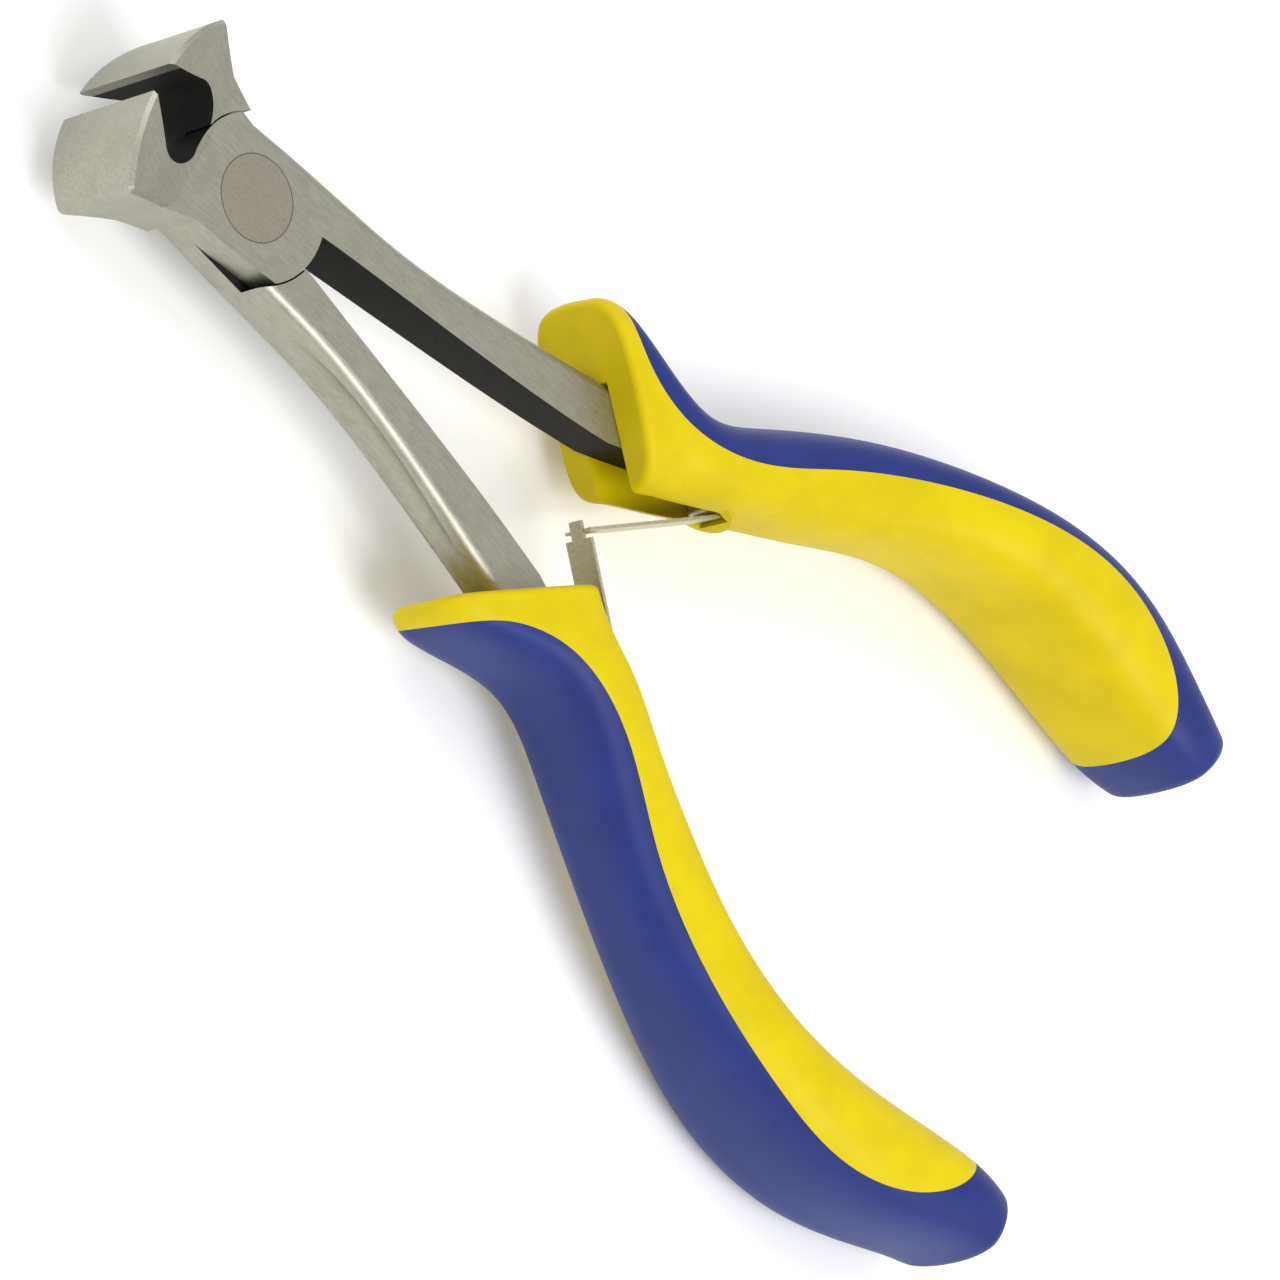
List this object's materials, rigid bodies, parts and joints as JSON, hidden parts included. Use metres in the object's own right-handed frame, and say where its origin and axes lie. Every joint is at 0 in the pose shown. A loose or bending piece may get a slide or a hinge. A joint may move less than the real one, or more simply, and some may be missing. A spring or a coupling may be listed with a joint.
{
  "type": "end-cutting nipper",
  "caption": "Small flush end-cutting nipper with lap joint, transverse jaws, two-tone guarded grips and interlocking leaf return springs, standing sprung open.",
  "frame": {"origin": "on the pivot axis, at the centre of the joint's flat underside", "axes": "+X from the pivot towards the jaws, +Z along the pivot axis, +Y towards the handle of lever B"},
  "size_m": [0.1222, 0.0674, 0.0166],
  "materials": {
    "forged_steel": "satin ground steel, blackened inside",
    "rivet_steel": "ground flush",
    "yellow_core": "moulded, semi-gloss",
    "blue_skin": "soft overmould, satin",
    "spring_steel": "bright rolled strip"
  },
  "bodies": {
    "lever_a": {"lever_a": "forged_steel", "pivot_rivet": "rivet_steel", "grip_core_a": "yellow_core", "grip_skin_a": "blue_skin", "spring_pin_a": "spring_steel"},
    "lever_b": {"lever_b": "forged_steel", "grip_core_b": "yellow_core", "grip_skin_b": "blue_skin", "spring_pin_b": "spring_steel"},
    "leaf_a": {"leaf_spring_forked": "spring_steel"},
    "leaf_b": {"leaf_spring_tongued": "spring_steel"}
  },
  "joints": [
    {"name": "handle_pivot", "type": "hinge", "parent": "lever_a", "child": "lever_b", "pos_m": [0, 0, 0.0029], "axis": [0, 0, 1], "range_deg": [-3, 11.45], "stiffness_Nm_per_rad": 1.75},
    {"name": "leaf_a_flex", "type": "hinge", "parent": "lever_a", "child": "leaf_a", "pos_m": [-0.05295, -0.0109, 0.0029], "axis": [0, 0, 1], "range_deg": [-20.2, 5.4]},
    {"name": "leaf_b_flex", "type": "hinge", "parent": "lever_b", "child": "leaf_b", "pos_m": [-0.05295, 0.0109, 0.0029], "axis": [0, 0, 1], "range_deg": [-5.4, 20.2]}
  ],
  "couplings": [
    {"joint": "leaf_a_flex", "follows": "handle_pivot", "ratio": -1.745},
    {"joint": "leaf_b_flex", "follows": "handle_pivot", "ratio": 1.745}
  ]
}
